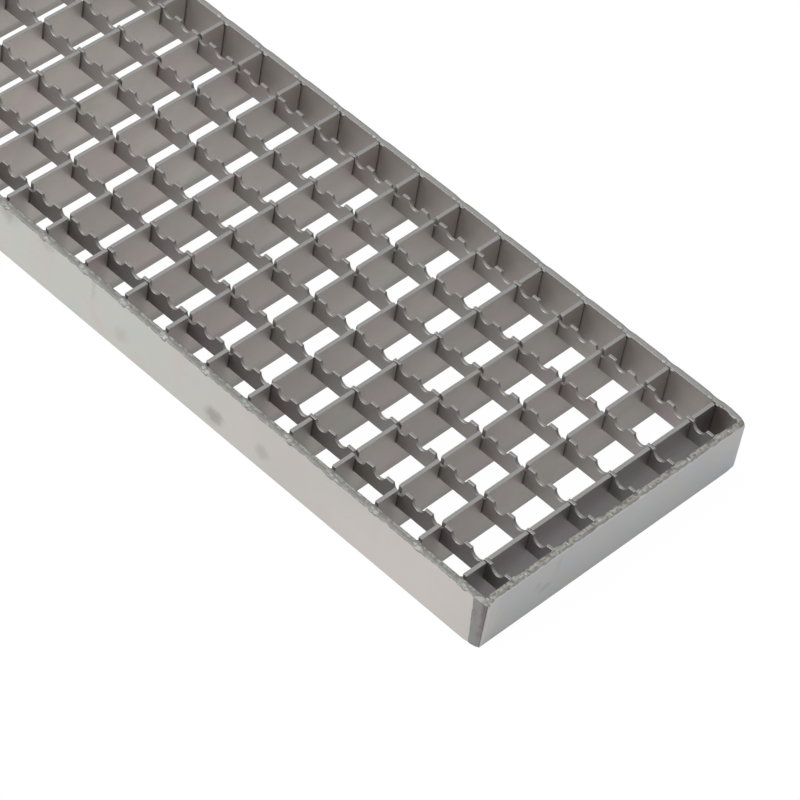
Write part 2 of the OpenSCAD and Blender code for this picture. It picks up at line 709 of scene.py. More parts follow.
END_BAND_STEEL = BandFinish(
    name="end_band_steel",
    light=(0.385, 0.385, 0.384),
    dark=(0.35, 0.35, 0.351),
    warm=(0.405, 0.385, 0.36),
    cool=(0.362, 0.366, 0.395),
    top=(0.215, 0.21, 0.192),
    clean_top=(0.207, 0.205, 0.2),
    pits=(0.085, 0.083, 0.074),
    edge=(0.175, 0.172, 0.158),
    edge_start=2.6 * MM,
    edge_end=3.9 * MM,
    gaps=0.9,
    patched=0.35,
    clean_from=214 * MM,
    tone=(0.385, 0.385, 0.385),
    tone_from=0.0,
    tone_to=1.0 * MM,
    roughness=0.5,
    smudges_and_painted_shade=(
        SmudgeOrPaintedShade((375 * MM, -58 * MM, 14.5 * MM), (6 * MM, 9 * MM, 4 * MM), 0.2, (0.17, 0.15, 0.15)),
        SmudgeOrPaintedShade((375 * MM, -64 * MM, 20 * MM), (6 * MM, 4 * MM, 7 * MM), 0.14, (0.17, 0.15, 0.15)),
        SmudgeOrPaintedShade((375 * MM, -49 * MM, 28 * MM), (6 * MM, 3.5 * MM, 7 * MM), 0.1, (0.2, 0.14, 0.15)),
        # Dark brown patch over the far corner cell: partly heat tint, partly painted shade of the
        # deep corner
        SmudgeOrPaintedShade(
            place=(360 * MM, 101 * MM, 12 * MM),
            reach=(15 * MM, 7 * MM, 90 * MM),
            strength=0.9,
            colour=(0.14, 0.117, 0.105),
            blur=0.1,
        ),
        # A lighter strip down the end face beside the near corner
        SmudgeOrPaintedShade((375 * MM, -106 * MM, 18 * MM), (3 * MM, 12 * MM, 60 * MM), 0.4, (0.46, 0.445, 0.42)),
    ),
)
NEAR_BAND_STEEL = BandFinish(
    name="near_band_steel",
    light=(0.54, 0.51, 0.487),
    dark=(0.505, 0.482, 0.459),
    warm=(0.54, 0.453, 0.43),
    cool=(0.476, 0.50, 0.465),
    top=(0.20, 0.20, 0.187),
    clean_top=(0.2, 0.2, 0.187),
    pits=(0.115, 0.115, 0.106),
    edge=(0.175, 0.175, 0.166),
    edge_start=2.0 * MM,
    edge_end=4.75 * MM,
    gaps=0.4,
    patched=0.5,
    clean_from=2000 * MM,
    tone=(0.52, 0.53, 0.5),
    tone_from=240 * MM,
    tone_to=80 * MM,
    roughness=0.52,
    smudges_and_painted_shade=(
        SmudgeOrPaintedShade((168 * MM, -108 * MM, 9.5 * MM), (9.5 * MM, 6 * MM, 8.5 * MM), 0.4, (0.13, 0.1, 0.09)),
        SmudgeOrPaintedShade((207 * MM, -108 * MM, 12.5 * MM), (8 * MM, 6 * MM, 7 * MM), 0.22, (0.15, 0.12, 0.1)),
        SmudgeOrPaintedShade((92 * MM, -108 * MM, 12 * MM), (8 * MM, 6 * MM, 7 * MM), 0.16, (0.2, 0.12, 0.11)),
        SmudgeOrPaintedShade((66 * MM, -108 * MM, 31 * MM), (3 * MM, 6 * MM, 11 * MM), 0.18, (0.2, 0.15, 0.13)),
        SmudgeOrPaintedShade((27 * MM, -108 * MM, 33 * MM), (9 * MM, 6 * MM, 6 * MM), 0.16, (0.2, 0.16, 0.14)),
        SmudgeOrPaintedShade((-9 * MM, -108 * MM, 36 * MM), (14 * MM, 6 * MM, 12 * MM), 0.3, (0.15, 0.11, 0.1)),
    ),
)
BEAD_METAL = BeadFinish(
    name="weld_bead_metal",
    light=(0.25, 0.253, 0.242),
    dark=(0.19, 0.193, 0.182),
    painted_glint=(0.33, 0.335, 0.32),
    roughness=0.6,
)
CORNER_METAL = CornerFinish(
    name="corner_weld_metal",
    ground=(0.255, 0.25, 0.25),
    tinted=(0.19, 0.16, 0.17),
    change=372.4 * MM,
    roughness=0.5,
)


# ---------------------------------------------------------------- meshes

# Angle between two faces above which their edge is chamfered
SHARP = math.radians(30)
# Share of its normal across a plate from which a face belongs to a side and not to the cut rim
FLANK = 0.5


def add_to_scene(name: str, data: bpy.types.Mesh) -> bpy.types.Object:
    """Puts a mesh into the scene as an object at the origin.

    Args:
        name: The object's name.
        data: Its mesh.

    Returns:
        The object.
    """
    item = bpy.data.objects.new(name, data)
    bpy.context.scene.collection.objects.link(item)
    return item


def piece_from(
    mesh: bmesh.types.BMesh, name: str, material: bpy.types.Material | None
) -> bpy.types.Object:
    """Turns a bmesh into an object at the origin and frees the bmesh.

    Args:
        mesh: The finished bmesh, in metres.
        name: The object's name.
        material: Its one material, or None for a pattern piece that is only copied.

    Returns:
        The object, linked to the scene.
    """
    bmesh.ops.recalc_face_normals(mesh, faces=mesh.faces)
    data = bpy.data.meshes.new(name)
    mesh.to_mesh(data)
    mesh.free()
    if material:
        data.materials.append(material)
    return add_to_scene(name, data)


def plate_from_profile(
    profile: Sequence[tuple[float, float]], thickness: float, edge: float
) -> bmesh.types.BMesh:
    """Makes an upright plate with softened edges, whose rim faces hold 1 under "cut".

    Args:
        profile: Corners of the side view, as distances along the plate and heights.
        thickness: The plate's thickness, centred on the profile's plane.
        edge: Width of the chamfer on its sharp edges.

    Returns:
        The plate along X, as a bmesh.
    """
    mesh = bmesh.new()
    side = mesh.faces.new([mesh.verts.new((along, -thickness / 2, up)) for along, up in profile])
    grown = bmesh.ops.extrude_face_region(mesh, geom=[side])
    moved = [v for v in grown["geom"] if isinstance(v, bmesh.types.BMVert)]
    bmesh.ops.translate(mesh, verts=moved, vec=(0, thickness, 0))
    bmesh.ops.recalc_face_normals(mesh, faces=mesh.faces)
    sharp = [e for e in mesh.edges if e.calc_face_angle(0.0) > SHARP]
    bmesh.ops.bevel(mesh, geom=sharp, offset=edge, segments=1, affect="EDGES", clamp_overlap=True)
    cut = mesh.faces.layers.float.new("cut")
    for face in mesh.faces:
        face[cut] = float(abs(face.normal.y) < FLANK)
    return mesh


def loft(
    mesh: bmesh.types.BMesh, rings: Sequence[Sequence[bmesh.types.BMVert]]
) -> Iterator[tuple[bmesh.types.BMFace, int, int]]:
    """Joins closed rings into a smooth tube with flat ends.

    Args:
        mesh: The bmesh that holds the rings.
        rings: Rings of as many vertices each, in order.

    Yields:
        Each side face, with the number of its first ring and of its first vertex in it.
    """
    for i in range(len(rings) - 1):
        count = len(rings[i])
        for k in range(count):
            ahead = (k + 1) % count
            corners = (rings[i][k], rings[i][ahead], rings[i + 1][ahead], rings[i + 1][k])
            face = mesh.faces.new(corners)
            face.smooth = True
            yield face, i, k
    mesh.faces.new(rings[0])
    mesh.faces.new(rings[-1])


def wave(along: float, length: float, row: float, seed: float = 0.0) -> float:
    """Smooth noise along a line.

    Args:
        along: Distance along the line.
        length: Length of one wave.
        row: Number of the line's row, where neighbouring rows look alike.
        seed: Offset of the pattern.

    Returns:
        The noise, from -1 to 1.
    """
    return noise.noise(Vector((along / length, row, seed)))


@dataclass(frozen=True)
class Place:
    """Where one copy of a pattern stands: its origin, its turn about Z and its scale."""

    spot: Triple
    turn: float = 0.0
    scale: Triple = (1.0, 1.0, 1.0)


class CopyTree:
    """A Geometry Nodes tree that sets a copy of one pattern on each point of a carrier mesh.

    The carrier's points hold each copy's turn and scale as attributes. The tree moves each
    copy by a random slack and roughens the surface by a depth of lumps.
    """

    KINDS = {
        "Places": "NodeSocketGeometry",
        "Pattern": "NodeSocketObject",
        "Slack": "NodeSocketVector",
        "Lump Depth": "NodeSocketFloat",
        "Lump Scale": "NodeSocketFloat",
        "Seed": "NodeSocketInt",
        "Smooth": "NodeSocketBool",
        "Material": "NodeSocketMaterial",
    }

    def __init__(self) -> None:
        """Builds the tree."""
        self.tree = bpy.data.node_groups.new("copies_on_places", "GeometryNodeTree")
        face = self.tree.interface
        self.names = {}
        for name, kind in self.KINDS.items():
            self.names[name] = face.new_socket(name, in_out="INPUT", socket_type=kind).identifier
        face.new_socket("Geometry", in_out="OUTPUT", socket_type="NodeSocketGeometry")
        self.given = self.tree.nodes.new("NodeGroupInput")
        real = self.node("GeometryNodeRealizeInstances", None, {0: self.copies()})
        inputs = {"Geometry": real.outputs[0], "Offset": self.lumps()}
        rough = self.node("GeometryNodeSetPosition", None, inputs)
        inputs = {"Geometry": rough.outputs[0], "Shade Smooth": "Smooth"}
        smooth = self.node("GeometryNodeSetShadeSmooth", None, inputs)
        inputs = {"Geometry": smooth.outputs[0], "Material": "Material"}
        dressed = self.node("GeometryNodeSetMaterial", None, inputs)
        end = self.tree.nodes.new("NodeGroupOutput")
        self.tree.links.new(dressed.outputs[0], end.inputs[0])

    def node(
        self, kind: str, settings: dict | None = None, inputs: dict | None = None
    ) -> bpy.types.Node:
        """Adds a node.

        Args:
            kind: Blender's identifier of the node type.
            settings: Attributes of the node, which are set first.
            inputs: Plain values, sockets, or names of the tree's inputs, by the socket's
                name or number.

        Returns:
            The node.
        """
        node = self.tree.nodes.new(kind)
        for key, value in (settings or {}).items():
            setattr(node, key, value)
        for key, value in (inputs or {}).items():
            if isinstance(value, str):
                value = self.given.outputs[value]
            if isinstance(value, bpy.types.NodeSocket):
                self.tree.links.new(value, node.inputs[key])
            else:
                node.inputs[key].default_value = value
        return node

    def attribute(self, name: str, kind: str) -> bpy.types.NodeSocket:
        """Reads an attribute of the carrier's points.

        Args:
            name: The attribute's name.
            kind: Blender's name of its data type.

        Returns:
            The socket that gives it.
        """
        node = self.node("GeometryNodeInputNamedAttribute", {"data_type": kind})
        node.inputs["Name"].default_value = name
        return node.outputs["Attribute"]

    def copies(self) -> bpy.types.NodeSocket:
        """Sets out the copies, each with its turn, scale and slack.

        Returns:
            The socket that gives the copies, as instances.
        """
        pattern = self.node("GeometryNodeObjectInfo", None, {"Object": "Pattern"})
        about_z = self.node("ShaderNodeCombineXYZ", None, {"Z": self.attribute("turn", "FLOAT")})
        turn = self.node("FunctionNodeEulerToRotation", None, {0: about_z.outputs[0]})
        inputs = {
            "Points": "Places",
            "Instance": pattern.outputs["Geometry"],
            "Rotation": turn.outputs[0],
            "Scale": self.attribute("scale", "FLOAT_VECTOR"),
        }
        row = self.node("GeometryNodeInstanceOnPoints", None, inputs)
        back = self.node("ShaderNodeVectorMath", {"operation": "SCALE"}, {0: "Slack", "Scale": -1.0})
        inputs = {"Min": back.outputs[0], "Max": "Slack", "Seed": "Seed"}
        slack = self.node("FunctionNodeRandomValue", {"data_type": "FLOAT_VECTOR"}, inputs)
        inputs = {"Instances": row.outputs[0], "Translation": slack.outputs[0]}
        return self.node("GeometryNodeTranslateInstances", None, inputs).outputs[0]

    def lumps(self) -> bpy.types.NodeSocket:
        """Sets how far noise moves each point in or out along its normal.

        Returns:
            The socket that gives the offset.
        """
        cloud = self.node("ShaderNodeTexNoise", None, {"Scale": "Lump Scale", "Detail": 2.0})
        inputs = {0: cloud.outputs[0], 1: 0.5}
        middle = self.node("ShaderNodeMath", {"operation": "SUBTRACT"}, inputs)
        inputs = {0: middle.outputs[0], 1: "Lump Depth"}
        depth = self.node("ShaderNodeMath", {"operation": "MULTIPLY"}, inputs)
        normal = self.node("GeometryNodeInputNormal")
        inputs = {0: normal.outputs[0], "Scale": depth.outputs[0]}
        return self.node("ShaderNodeVectorMath", {"operation": "SCALE"}, inputs).outputs[0]

    def bake(
        self, name: str, pattern: bpy.types.Object, places: Sequence[Place], values: dict
    ) -> bpy.types.Object:
        """Runs the tree once, keeps the result as a plain mesh and removes the pattern.

        Args:
            name: The finished piece's name.
            pattern: The object that is copied.
            places: Where the copies stand.
            values: A value for each other named input that isn't zero.

        Returns:
            The piece, with no modifier left.
        """
        data = bpy.data.meshes.new(name + "_carrier")
        data.from_pydata([place.spot for place in places], [], [])
        turns = data.attributes.new("turn", "FLOAT", "POINT").data
        scales = data.attributes.new("scale", "FLOAT_VECTOR", "POINT").data
        for place, turn, scale in zip(places, turns, scales):
            turn.value = place.turn
            scale.vector = place.scale
        carrier = add_to_scene(name + "_carrier", data)
        modifier = carrier.modifiers.new("nodes", "NODES")
        modifier.node_group = self.tree
        for key, value in {"Pattern": pattern, **values}.items():
            modifier[self.names[key]] = value
        bpy.context.view_layer.update()
        evaluated = carrier.evaluated_get(bpy.context.evaluated_depsgraph_get())
        result = bpy.data.meshes.new_from_object(evaluated)
        result.name = name
        bpy.data.objects.remove(carrier)
        bpy.data.objects.remove(pattern)
        return add_to_scene(name, result)


# ---------------------------------------------------------------- the panel


@dataclass(frozen=True)
class Panel:
    """Sizes and places that the panel's sub-assemblies share.

    The first bearing bar stands first_bar_shift further out and is turned by first_bar_turn,
    and each filler is off its pitch by its drift. The +X end band is askew by end_skew over
    the panel's width, and the near side's band leans out by near_lean at its foot. Bearing
    bars and fillers stop end_gap short of the bands.
    """

    length: float
    width: float
    height: float
    bearing_pitch: float = 33.33 * MM
    bearing_thickness: float = 2.7 * MM
    first_bar: float = 23 * MM
    first_bar_shift: float = 1.0 * MM
    first_bar_turn: float = math.radians(-0.47)
    filler_pitch: float = 33.33 * MM
    filler_drift: tuple[float, ...] = (
        -0.3 * MM,
        -0.1 * MM,
        0.1 * MM,
        0.2 * MM,
        -0.7 * MM,
        -0.4 * MM,
    )
    filler_thickness: float = 2 * MM
    filler_depth: float = 14.5 * MM
    slot_gap: float = 0.9 * MM
    slot_gap_far: float = 0.2 * MM
    press_in: float = 0.5 * MM
    band_thickness: float = 4.5 * MM
    flat_length: float = 10 * MM
    flat_depth: float = 1.7 * MM
    end_gap: float = 0.6 * MM
    end_skew: float = 1.7 * MM
    near_lean: float = 0.7 * MM

    @classmethod
    def from_frame(cls, low: Vector, high: Vector) -> Panel:
        """Takes the outer sizes from the CAD model's box."""
        return cls(*(high - low))

    @property
    def first_x(self) -> float:
        """Middle of the bearing bar next to the +X end."""
        return self.length / 2 - self.first_bar

    def bearing_places(self) -> list[Place]:
        """Sets out the bearing bars, the first a little askew.

        Returns:
            The bars' places, in order from the +X end.
        """
        room = self.first_x + self.length / 2 - self.band_thickness - self.bearing_thickness
        count = math.floor(room / self.bearing_pitch) + 1
        first = Place((self.first_x + self.first_bar_shift, 0.0, 0.0), self.first_bar_turn)
        rest = [Place((self.first_x - i * self.bearing_pitch, 0.0, 0.0)) for i in range(1, count)]
        return [first, *rest]

    def filler_places(self) -> list[float]:
        """Y of the middle of each filler."""
        first = -self.filler_pitch * (len(self.filler_drift) - 1) / 2
        return [first + j * self.filler_pitch + drift for j, drift in enumerate(self.filler_drift)]

    def end_face(self, y: float) -> float:
        """X of the outer face of the +X end band, which stands slightly askew."""
        return self.length / 2 + self.end_skew * (y / self.width + 0.5)


@dataclass(frozen=True)
class BearingBars:
    """The deep plain bars that run across the panel, slotted for the fillers."""

    panel: Panel
    edge: float = 0.2 * MM
    foot: float = 0.4 * MM
    pressed: float = 0.5 * MM
    near_hollow: float = 1.8 * MM
    far_hollow: float = 0.8 * MM
    hollow_depth: float = 3.0 * MM
    slack: float = 0.1 * MM
    seed: int = 4

    def profile(self) -> list[tuple[float, float]]:
        """Draws the side view of one bar, with a slot from the top for each filler.

        The bar stops a foot short of the panel's underside, and the filler has pressed
        the far top corner of each slot down. A small hollow stays open beside each rim.

        Returns:
            The corners, as distances across the panel and heights.
        """
        p = self.panel
        half = p.width / 2 - p.band_thickness - p.end_gap
        floor = p.height - p.filler_depth + p.press_in
        hollow = p.height - self.hollow_depth
        far = half - self.far_hollow
        points = [(-half, self.foot), (half, self.foot)]
        points += [(half, hollow), (far, hollow), (far, p.height)]
        for y in reversed(p.filler_places()):
            low = y + (-p.filler_thickness / 2 - p.slot_gap)
            high = y + (p.filler_thickness / 2 + p.slot_gap_far)
            points += [(high + self.pressed, p.height), (high, p.height - 2 * self.pressed)]
            points += [(high, floor), (low, floor), (low, p.height)]
        near = -half + self.near_hollow
        return [*points, (near, p.height), (near, hollow), (-half, hollow)]

    def build(self, tree: CopyTree) -> bpy.types.Object:
        """Makes all the bearing bars as one piece.

        Args:
            tree: The tree that copies one bar to every place.

        Returns:
            The piece.
        """
        p = self.panel
        mesh = plate_from_profile(self.profile(), p.bearing_thickness, self.edge)
        bmesh.ops.rotate(mesh, verts=mesh.verts, matrix=Matrix.Rotation(math.pi / 2, 3, "Z"))
        pattern = piece_from(mesh, "bearing_bar_pattern", None)
        values = {
            "Slack": (self.slack, 0, 0),
            "Seed": self.seed,
            "Material": BEARING_STEEL.build(p.height),
        }
        return tree.bake("bearing_bars", pattern, p.bearing_places(), values)


@dataclass(frozen=True)
class Fillers:
    """The shallower bars that run along the panel, with round notches in their tops."""

    panel: Panel
    notch_pitch: float = 15 * MM
    first_notch: float = 8.2 * MM
    notch_radius: float = 4.8 * MM
    notch_steps: int = 14
    edge: float = 0.15 * MM

    def notches(self) -> list[float]:
        """Finds the notches that touch the filler.

        Returns:
            X of the middle of each, from the +X end.
        """
        half = self.panel.length / 2 - self.panel.band_thickness
        first = self.panel.first_x + self.first_notch
        most = math.ceil(self.panel.length / self.notch_pitch)
        places = [first - k * self.notch_pitch for k in range(-most, most)]
        return [x for x in places if abs(x) < half + self.notch_radius]

    def top_at(self, x: float) -> float:
        """Finds the height of the notched top.

        Args:
            x: Place along the panel.

        Returns:
            The height there.
        """
        gap = min(abs(x - notch) for notch in self.notches())
        if gap >= self.notch_radius:
            return self.panel.height
        return self.panel.height - math.sqrt(self.notch_radius**2 - gap**2)

    def profile(self) -> list[tuple[float, float]]:
        """Draws the side view of one filler, from the +X end back along the notched top.

        Returns:
            The corners, as distances along the panel and heights.
        """
        p = self.panel
        half = p.length / 2 - p.band_thickness - p.end_gap
        low = p.height - p.filler_depth
        tops = []
        for middle in self.notches():
            for k in range(self.notch_steps + 1):
                turn = math.pi * k / self.notch_steps
                x = middle + self.notch_radius * math.cos(turn)
                if abs(x) < half - self.edge:
                    tops.append((x, p.height - self.notch_radius * math.sin(turn)))
        ends = (self.top_at(half), self.top_at(-half))
        return [(-half, low), (half, low), (half, ends[0]), *tops, (-half, ends[1])]

    def build(self, tree: CopyTree) -> bpy.types.Object:
        """Makes all the fillers as one piece.

        Args:
            tree: The tree that copies one filler to every place.

        Returns:
            The piece.
        """
        p = self.panel
        mesh = plate_from_profile(self.profile(), p.filler_thickness, self.edge)
        pattern = piece_from(mesh, "filler_pattern", None)
        places = [Place((p.end_skew / 2, y, 0.0)) for y in p.filler_places()]
        values = {"Material": FILLER_STEEL.build(p.height)}
        return tree.bake("filler_bars", pattern, places, values)


class Leg(Enum):
    """Which banding bar: the one laid as drawn, or the same one turned half round."""

    END_AND_FAR_SIDE = "band_end_and_far_side"
    NEAR_SIDE_AND_END = "band_near_side_and_end"


@dataclass(frozen=True)
class RimBand:
    """One banding bar: an end leg, a bent corner and a side leg.

    Both bars are drawn as the one of the +X end and the far side. The other is then turned
    half round. The outer top edge is rolled to a radius of outer_edge, or on the far side
    far_edge, to which each bearing bar's weld adds dip. Within bend_reach of the corner it is
    ground down towards bend_edge, and the foot is rounder by bend_foot. The outside of the
    bend is drawn out along the side by bend_shear, over shear_steps stations. The inside of
    the end leg is fuller by end_swell, which fades out over the last swell_steps stations
    before the bend. The top's wobble is made of a slow and a fast wave.
    """

    panel: Panel
    leg: Leg
    spacing: float = 2.5 * MM
    end_swell: float = 0.6 * MM
    swell_steps: int = 4
    bend_radius: float = 0.5 * MM
    bend_steps: int = 10
    bend_reach: float = 10 * MM
    bend_edge: float = 3.0 * MM
    bend_foot: float = 1.6 * MM
    bend_shear: float = 5.5 * MM
    shear_steps: int = 10
    inner_edge: float = 0.2 * MM
    outer_edge: float = 0.9 * MM
    far_edge: float = 1.3 * MM
    edge_steps: int = 4
    top_steps: int = 3
    hold: float = 0.4 * MM
    slow_wave: float = 9 * MM
    fast_wave: float = 2.6 * MM
    slow_share: float = 0.35
    fast_share: float = 0.3
    wobble: float = 0.18 * MM
    bulge_wave: float = 3 * MM
    bulge_share: float = 0.3
    bulge_row: float = 7.0
    near_seed: float = 40.0
    dip: float = 1.05 * MM
    dip_reach: float = 4.8 * MM
    dip_shift: float = -1.5 * MM

    @property
    def near(self) -> bool:
        """Whether this is the bar of the near side, turned half round."""
        return self.leg is Leg.NEAR_SIDE_AND_END

    @property
    def bend_middle(self) -> Vector:
        """Middle of the bend's curve, in plan."""
        inset = self.panel.band_thickness + self.bend_radius
        return Vector((self.panel.length / 2 - inset, self.panel.width / 2 - inset))

    def end_leg(self) -> Iterator[tuple[Vector, Vector]]:
        """Walks the end leg, from the ground flat of the welded corner to the bend.

        Yields:
            Outer and inner points, in plan.
        """
        p = self.panel
        t, half_x, half_y = p.band_thickness, p.length / 2, p.width / 2
        ground = p.flat_depth / p.flat_length * (p.flat_length - t)
        yield Vector((half_x, -half_y + p.flat_depth)), Vector((half_x - t, -half_y + ground))
        reach = half_y - t - self.bend_radius + half_y
        count = round(reach / self.spacing)
        for k in range(1, count):
            y = -half_y + reach * k / count
            swell = self.end_swell * min(1.0, (count - k) / self.swell_steps)
            if y > -half_y + 2 * p.flat_depth:
                yield Vector((half_x, y)), Vector((half_x - t - swell, y))

    def bend(self) -> Iterator[tuple[Vector, Vector]]:
        """Walks the bent corner, whose outer curve is drawn out along the side.

        Yields:
            Outer and inner points, in plan.
        """
        for k in range(self.bend_steps + 1):
            turn = math.pi / 2 * k / self.bend_steps
            way = Vector((math.cos(turn), math.sin(turn)))
            outer = self.bend_middle + way * (self.bend_radius + self.panel.band_thickness)
            outer.x -= self.bend_shear * (1.0 - way.x)
            yield outer, self.bend_middle + way * self.bend_radius

    def side_leg(self) -> Iterator[tuple[Vector, Vector]]:
        """Walks the side leg, which ends at the butt joint with the other bar.

        Yields:
            Outer and inner points, in plan.
        """
        p = self.panel
        t, half_x, half_y = p.band_thickness, p.length / 2, p.width / 2
        ground = p.flat_depth / p.flat_length * (p.flat_length - t)
        start = half_x - t - self.bend_radius
        flat = -half_x + p.flat_length
        count = round((start - flat) / self.spacing)
        for k in range(1, count + 1):
            x = start + (flat - start) * k / count
            back = self.bend_shear * max(0.0, 1.0 - k / self.shear_steps)
            yield Vector((x - back, half_y)), Vector((x, half_y - t))
        yield Vector((-half_x + t, half_y - ground)), Vector((-half_x + t, half_y - t))

    def stations(self) -> list[tuple[Vector, Vector]]:
        """Lists the whole bar's stations, with the +X end's bar set askew.

        Returns:
            Outer and inner points in plan, from the welded corner to the far butt joint.
        """
        p = self.panel
        pairs = [*self.end_leg(), *self.bend()]
        if not self.near:
            for point in (point for pair in pairs for point in pair):
                point.x += p.end_face(point.y) - p.length / 2
        return [*pairs, *self.side_leg()]

    def edge_at(self, outer: Vector) -> float:
        """Finds how wide the outer top edge is rolled, wider beside each bar's far weld.

        Args:
            outer: A station's outer point, in plan.

        Returns:
            The edge's radius there.
        """
        if self.near or not self.on_side(outer):
            return self.outer_edge
        welds = (bar.spot[0] + self.dip_shift for bar in self.panel.bearing_places())
        away = min(abs(outer.x - weld) for weld in welds)
        return self.far_edge + self.dip * max(0.0, 1.0 - (away / self.dip_reach) ** 2)

    def on_side(self, outer: Vector) -> bool:
        """Whether a station's outer point is on the side leg and not on the end leg."""
        return outer.y >= self.panel.width / 2 - self.panel.flat_depth

    def section(self, length: float, edge: float, from_bend: float) -> list[tuple[float, float]]:
        """Draws the bar's section, from its inner top edge over the top and round.

        Args:
            length: Distance of the section along the bar, which drives its wobble.
            edge: Radius of the outer top edge.
            from_bend: Distance to the corner of the bend, where the top edge is ground down.

        Returns:
            Distances inwards from the outer face, and heights.
        """
        t, h, r = self.panel.band_thickness, self.panel.height, self.inner_edge
        seed = self.near_seed if self.near else 0.0
        slow, fast = wave(length, self.slow_wave, seed), wave(length, self.fast_wave, seed)
        share = max(0.0, 1.0 - (from_bend / self.bend_reach) ** 2)
        ragged = self.outer_edge * (self.slow_share * slow + self.fast_share * fast)
        roll = edge + ragged + (self.bend_edge - edge) * share
        top = h + self.wobble * (slow + fast) / 2 - self.wobble / 2
        points = [(t, top - r), (t - r, top), (t - r - self.hold, top)]
        for k in range(1, self.top_steps):
            bulge = self.bulge_share * self.wobble
            bulge *= wave(length, self.bulge_wave, self.bulge_row * k, seed)
            inwards = (t - r - self.hold) * (1 - k / self.top_steps) + roll * k / self.top_steps
            points.append((inwards, top + bulge))
        for k in range(self.edge_steps + 1):
            turn = math.pi / 2 * k / self.edge_steps
            points.append((roll - roll * math.sin(turn), top - roll + roll * math.cos(turn)))
        low, hold = r + self.bend_foot * share, self.hold
        points += [(0.0, top - roll - hold), (0.0, low + hold), (0.0, low), (low, 0.0)]
        return [*points, (t - r, 0.0), (t, r), (t, r + hold), (t, top - r - hold)]

    def ring(
        self, outer: Vector, inner: Vector, section: Sequence[tuple[float, float]]
    ) -> list[Vector]:
        """Stands a section up at its station, leaning out where the near side does.

        Args:
            outer: The station's outer point, in plan.
            inner: Its inner point.
            section: The section, as distances inwards and heights.

        Returns:
            The section's points.
        """
        p = self.panel
        turn = -1.0 if self.near else 1.0
        lean = p.near_lean if self.near and self.on_side(outer) else 0.0
        ring = []
        for across, up in section:
            spot = outer.lerp(inner, across / p.band_thickness)
            out = lean * (1 - up / p.height)
            ring.append(Vector((turn * spot.x, turn * (spot.y + out), up)))
        return ring

    def build(self, finish: bpy.types.Material) -> bpy.types.Object:
        """Sweeps the section along the bar and maps it by length and girth.

        Args:
            finish: The bar's material, which reads that map.

        Returns:
            The bar.
        """
        mesh = bmesh.new()
        layer = mesh.loops.layers.uv.new("bar")
        stations = self.stations()
        middles = [(outer + inner) / 2 for outer, inner in stations]
        lengths = [0.0]
        for before, after in zip(middles, middles[1:]):
            lengths.append(lengths[-1] + (after - before).length)
        corner = Vector((self.panel.length / 2, self.panel.width / 2))
        rings, girths = [], []
        for (outer, inner), middle, length in zip(stations, middles, lengths):
            section = self.section(length, self.edge_at(outer), (middle - corner).length)
            rings.append([mesh.verts.new(spot) for spot in self.ring(outer, inner, section)])
            girth = [0.0]
            for (a, b), (c, d) in zip(section, section[1:] + section[:1]):
                girth.append(girth[-1] + math.hypot(c - a, d - b))
            girths.append(girth)
        for face, i, k in loft(mesh, rings):
            corners = ((i, k), (i, k + 1), (i + 1, k + 1), (i + 1, k))
            for loop, (station, side) in zip(face.loops, corners):
                loop[layer].uv = (lengths[station], girths[station][side])
        return piece_from(mesh, self.leg.value + "_bar", finish)


